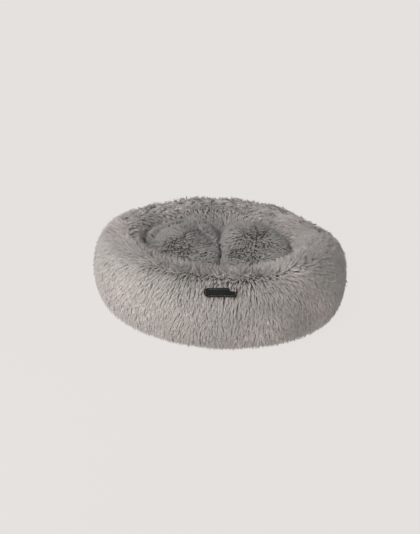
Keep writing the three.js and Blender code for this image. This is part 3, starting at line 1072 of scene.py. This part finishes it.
# %% tubes along paths
def tubes(name, paths, radius, up, sides=6, taper=True):
    """paths[i, j] is point j of tube i; all tubes are one mesh."""
    count, length = paths.shape[:2]
    along = unit(np.gradient(paths, axis=1))
    side = unit(np.cross(along, np.array(up, float)))
    over = np.cross(side, along)
    turn = 2 * np.pi * np.arange(sides) / sides
    ring = np.cos(turn)[:, None] * over[:, :, None] + np.sin(turn)[:, None] * side[:, :, None]
    thick = np.full(length, radius)
    if taper:
        thick[[0, -1]] *= 0.35
    points = paths[:, :, None] + thick[None, :, None, None] * ring
    faces = []
    for tube in range(count):
        first = tube * length * sides
        faces.append([first + k for k in range(sides)][::-1])
        faces.append([first + (length - 1) * sides + k for k in range(sides)])
        for j in range(length - 1):
            for k in range(sides):
                a, b = first + j * sides + k, first + j * sides + (k + 1) % sides
                faces.append([a, b, b + sides, a + sides])
    mesh = bpy.data.meshes.new(name)
    mesh.from_pydata(points.reshape(-1, 3).tolist(), [], faces)
    return link_mesh(name, mesh)


def stitch_paths(starts, ends, rise):
    """A bent path from each start to its end, standing up by rise in the middle."""
    t = np.linspace(0, 1, 5)[None, :, None]
    return starts[:, None] * (1 - t) + ends[:, None] * t + 4 * t * (1 - t) * np.array(rise)


def ring_of_stitches(name, radius, height, spacing, rise):
    """Stitches end to end round a circle, with a small gap between them."""
    count = int(2 * math.pi * radius / spacing)
    turn = 2 * np.pi * np.arange(count) / count
    length = 0.8 * 2 * np.pi / count
    ends = [
        np.stack([radius * np.cos(a), radius * np.sin(a), np.full(count, height)], -1)
        for a in (turn, turn + length)
    ]
    return tubes(name, stitch_paths(*ends, (0, 0, rise)), 0.3 * mm, (0, 0, 1))


# %% [markdown]
# ## Label
#
# The label is a strip of black woven satin, folded under at its ends and sewn through
# the fur on two short rows of stitches. Its left end is cut round. It carries no mark:
# a plain border of pale stitches finishes it. Fur holds it off the backing, so it bows
# with the ring and ripples slightly.

# %% the label's strip
def label_point(x, up, out):
    """A point on the label: x along it, up across it, out from its middle surface."""
    ripple = 0.5 * mm * np.sin(x / (9 * mm)) + 0.4 * mm * np.sin(up / (5 * mm) + x / (15 * mm))
    depth = out + label_lift - 2 * mm + ripple - x**2 / (2 * label_bend)
    along = x[..., None] * np.array([1.0, 0, 0])
    return label_centre + along + up[..., None] * label_up + depth[..., None] * label_out


def label_half_height_at(x):
    """The strip's half height: round at the left end, small round corners at the right."""
    left = np.clip((-x - label_half_width + 11 * mm) / (11 * mm), 0, 0.985)
    right = np.clip((x - label_half_width + 2 * mm) / (2 * mm), 0, 1)
    return label_half_height * np.sqrt(1 - left**2) - 2 * mm * (1 - np.sqrt(1 - right**2))


long_count = 61
cross_count = 21
fold_starts = 29 * mm  # past here the end that is folded under lifts the strip
fold_lift = 0.25 * mm
columns = label_half_width * np.sin(np.linspace(-np.pi / 2, np.pi / 2, long_count))
x, share = grid(columns, np.linspace(-1, 1, cross_count))
strip = label_point(x, share * label_half_height_at(x), fold_lift * (np.abs(x) > fold_starts))
quads = []
for i in range(long_count - 1):
    for j in range(cross_count - 1):
        a, b = i * cross_count + j, (i + 1) * cross_count + j
        quads.append([a, b, b + 1, a + 1])
mesh = bpy.data.meshes.new("label_strip")
mesh.from_pydata(strip.reshape(-1, 3).tolist(), [], quads)
label_strip = link_mesh("label_strip", mesh)


def apply_modifiers(piece):
    """Put what the piece's modifiers make into its mesh."""
    graph = bpy.context.evaluated_depsgraph_get()
    shaped = bpy.data.meshes.new_from_object(piece.evaluated_get(graph))
    piece.modifiers.clear()
    piece.data = shaped
    shaped.polygons.foreach_set("use_smooth", [True] * len(shaped.polygons))
    shaped.update()


solid = label_strip.modifiers.new("cloth thickness", "SOLIDIFY")
solid.thickness = 0.8 * mm
solid.offset = 0
apply_modifiers(label_strip)
ready(label_strip, label_satin, "bed", "label")

# %% the label's stitches
label_thread = 0.28 * mm
stitch_rise = 0.35 * mm
label_face = 0.55 * mm  # where the stitches lie, out from the strip's middle surface


def stitches_on_label(name, start, end, material, node):
    """Stitches on the label's face, from each start (x, up) to its end."""
    face = np.full(len(start[0]), label_face)
    starts, ends = label_point(*start, face), label_point(*end, face)
    paths = stitch_paths(starts, ends, stitch_rise * label_out)
    return ready(tubes(name, paths, label_thread, label_out), material, "bed", node)


ups = np.arange(-3, 3) * 2.6 * mm
for name, place in (("label_stitch_left", -30.5 * mm), ("label_stitch_right", 32 * mm)):
    x = np.full(len(ups), place)
    stitches_on_label(
        f"{name}_thread", (x, ups * 0.8), (x, (ups + 2 * mm) * 0.8), thread_yarn, name
    )

border_stitch = 2.3 * mm
border_half_height = 7.2 * mm
along = np.arange(-25, 29, 3.0) * mm
x = np.concatenate([along, along])
up = np.repeat([-border_half_height, border_half_height], len(along))
label_border = stitches_on_label(
    "label_border", (x, up), (x + border_stitch, up), border_yarn, None
)

# %% [markdown]
# ## Base
#
# The underside is dark oxford cloth with a grid of soft dots that stop the bed from
# sliding on a hard floor. It is sewn to the cover's hem all round, over a disc of
# wadding, and a short zip in it lets the ring's liner come out for washing. The well's
# floor is a second, plainer cloth.

# %% the base cloth
dot_height = 0.5 * mm


def copy_of(name, node):
    """A new piece with the CAD node's mesh."""
    piece = bpy.data.objects.new(name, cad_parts[node].data.copy())
    bpy.context.collection.objects.link(piece)
    return piece


def move_points(piece, place):
    points = np.empty(len(piece.data.vertices) * 3)
    piece.data.vertices.foreach_get("co", points)
    points = place(points.reshape(-1, 3))
    piece.data.vertices.foreach_set("co", points.ravel())
    piece.data.update()


base_cloth = copy_of("base_cloth", "base_panel")
move_points(base_cloth, lambda points: np.maximum(points, [-1, -1, dot_height]))
ready(base_cloth, grip_cloth, "bed", "base_panel")

# %% grip dots
slot_half_length = 164 * mm
slot_half_width = 7 * mm
zip_y = 70 * mm
dot_spacing = 11 * mm
dot_radius = 2.1 * mm
column, row = grid(np.arange(-21, 22), np.arange(-22, 23))
dot_x = (column + 0.5 * (row % 2)) * dot_spacing
dot_y = row * dot_spacing * math.sqrt(0.75)
dots = np.stack([dot_x, dot_y], -1).reshape(-1, 2)
beside_zip = np.abs(dots[:, 0]) < slot_half_length + 4 * mm
near_slot = beside_zip & (np.abs(dots[:, 1] - zip_y) < slot_half_width + 8 * mm)
dots = dots[(np.linalg.norm(dots, axis=1) < base_radius - 12 * mm) & ~near_slot]
dot_sides = 10
dot_turn = np.linspace(0, 2 * np.pi, dot_sides, endpoint=False)
profile = [(1.0, 0.75), (0.95, 0.30), (0.70, 0.10), (0.35, 0.02)]  # share of radius, mm above floor
dot_points = []
dot_faces = []
for x, y in dots:
    first = len(dot_points)
    for share, height in profile:
        for turn in dot_turn:
            r = share * dot_radius
            dot_points.append((x + r * math.cos(turn), y + r * math.sin(turn), height * mm))
    for level in range(len(profile) - 1):
        for k in range(dot_sides):
            a = first + dot_sides * level + k
            b = first + dot_sides * level + (k + 1) % dot_sides
            dot_faces.append([b, a, a + dot_sides, b + dot_sides])
    lowest_ring = first + dot_sides * (len(profile) - 1)
    dot_faces.append([first + k for k in range(dot_sides)])
    dot_faces.append([lowest_ring + k for k in range(dot_sides)][::-1])
mesh = bpy.data.meshes.new("grip_dots")
mesh.from_pydata(dot_points, [], dot_faces)
ready(link_mesh("grip_dots", mesh), soft_pvc, "bed", None)
print(f"{len(dots)} grip dots")

# %% wadding under the well
base_wadding = copy_of("base_wadding", "base_pad")
even = base_wadding.modifiers.new("even squares", "REMESH")
even.mode = "VOXEL"
even.voxel_size = 4 * mm
smooth = base_wadding.modifiers.new("soft edges", "SMOOTH")
smooth.iterations = 4
apply_modifiers(base_wadding)
ready(base_wadding, hollow_fibre, "bed", "base_pad")

# %% the discs of cloth in the well and under the seat
disc_ripple = 0.12 * mm


def cloth_disc(name, node, seed):
    """A round cloth with slow ripples that fade at its sewn edge."""
    low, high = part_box(node)
    radius = high.x
    steps_out = 24
    shares = np.concatenate([np.linspace(0, 1, steps_out), np.linspace(1, 0, steps_out)])
    angle, share = grid(np.linspace(0, 2 * np.pi, 120, endpoint=False), shares)
    x, y = share * radius * np.cos(angle), share * radius * np.sin(angle)
    flat = np.stack([x, y, 0 * x], -1).reshape(-1, 3)
    ripple = disc_ripple * drift(flat, 0.09, seed).reshape(x.shape) * (1 - share**4)
    under = np.arange(2 * steps_out)[None, :] >= steps_out
    height = np.where(under, low.z, high.z) + ripple
    return closed_mesh(name, np.stack([x, y, height], -1), poles=True), radius


for name, node, body, seed in (
    ("well_floor", "floor_panel", "bed", 51),
    ("seat_underside", "seat_cover_bottom", "seat", 52),
):
    piece, radius = cloth_disc(name, node, seed)
    ready(piece, well_cloth, body, node)

# %% seams round the cloths
floor_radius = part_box("floor_panel")[1].x
floor_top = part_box("floor_panel")[1].z
hem = 5 * mm  # from a cloth's edge to its seam
floor_hem = 30 * mm  # the ring covers the edge of the well's cloth
stitch_spacing = 4 * mm
for name, radius, height, rise, body in (
    ("base_seam", base_radius - hem, 0.45 * mm, -0.12 * mm, "bed"),
    ("floor_seam", floor_radius - floor_hem, floor_top, 0.2 * mm, "bed"),
    ("seat_seam", seat_base_high.x - hem, seat_base_low.z, -0.15 * mm, "seat"),
):
    stitches = ring_of_stitches(name, radius, height, stitch_spacing, rise)
    ready(stitches, thread_yarn, body, None)

# %% [markdown]
# ## Zip
#
# A coil zip is two helices of nylon monofilament, sewn to the edges of two tapes, whose
# turns sit between each other. Each turn is a loop seen from the end. The slider, the
# pull and the stops keep their CAD shapes, with their sharp edges rounded off.

# %% coils
pitch = 1.6 * mm
wire = 0.38 * mm
for node, sign in (("zip_coil_back", 1), ("zip_coil_front", -1)):
    low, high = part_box(node)
    turns = int((high.x - low.x) / pitch)
    angle = np.linspace(0, 2 * np.pi * turns, 12 * turns) + (math.pi if sign > 0 else 0)
    half_wide = (high.y - low.y) / 2 - wire
    half_tall = (high.z - low.z) / 2 - wire
    path = np.stack(
        [
            np.linspace(low.x + wire, high.x - wire, len(angle)),
            (low.y + high.y) / 2 + half_wide * np.cos(angle),
            (low.z + high.z) / 2 + half_tall * np.sin(angle),
        ],
        -1,
    )
    coil = tubes(f"{node}_wire", path[None], wire, (1, 0, 0), taper=False)
    ready(coil, nylon, "bed", node)
    print(f"{node}: {turns} turns")

# %% tapes and metal
for node in ("zip_tape_back", "zip_tape_front"):
    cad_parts[node].data.materials.clear()
    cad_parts[node].data.materials.append(tape_cloth)
for node, body, width in (
    ("zip_slider", "zip_slider", 0.25 * mm),
    ("zip_pull", "zip_pull", 0.2 * mm),
    ("zip_stop_left", "bed", 0.3 * mm),
    ("zip_stop_right", "bed", 0.3 * mm),
):
    piece = copy_of(f"{node}_metal", node)
    rounded = piece.modifiers.new("rounded edges", "BEVEL")
    rounded.width = width
    rounded.segments = 2
    rounded.limit_method = "ANGLE"
    rounded.angle_limit = math.radians(40)
    apply_modifiers(piece)
    ready(piece, zinc, body, node)
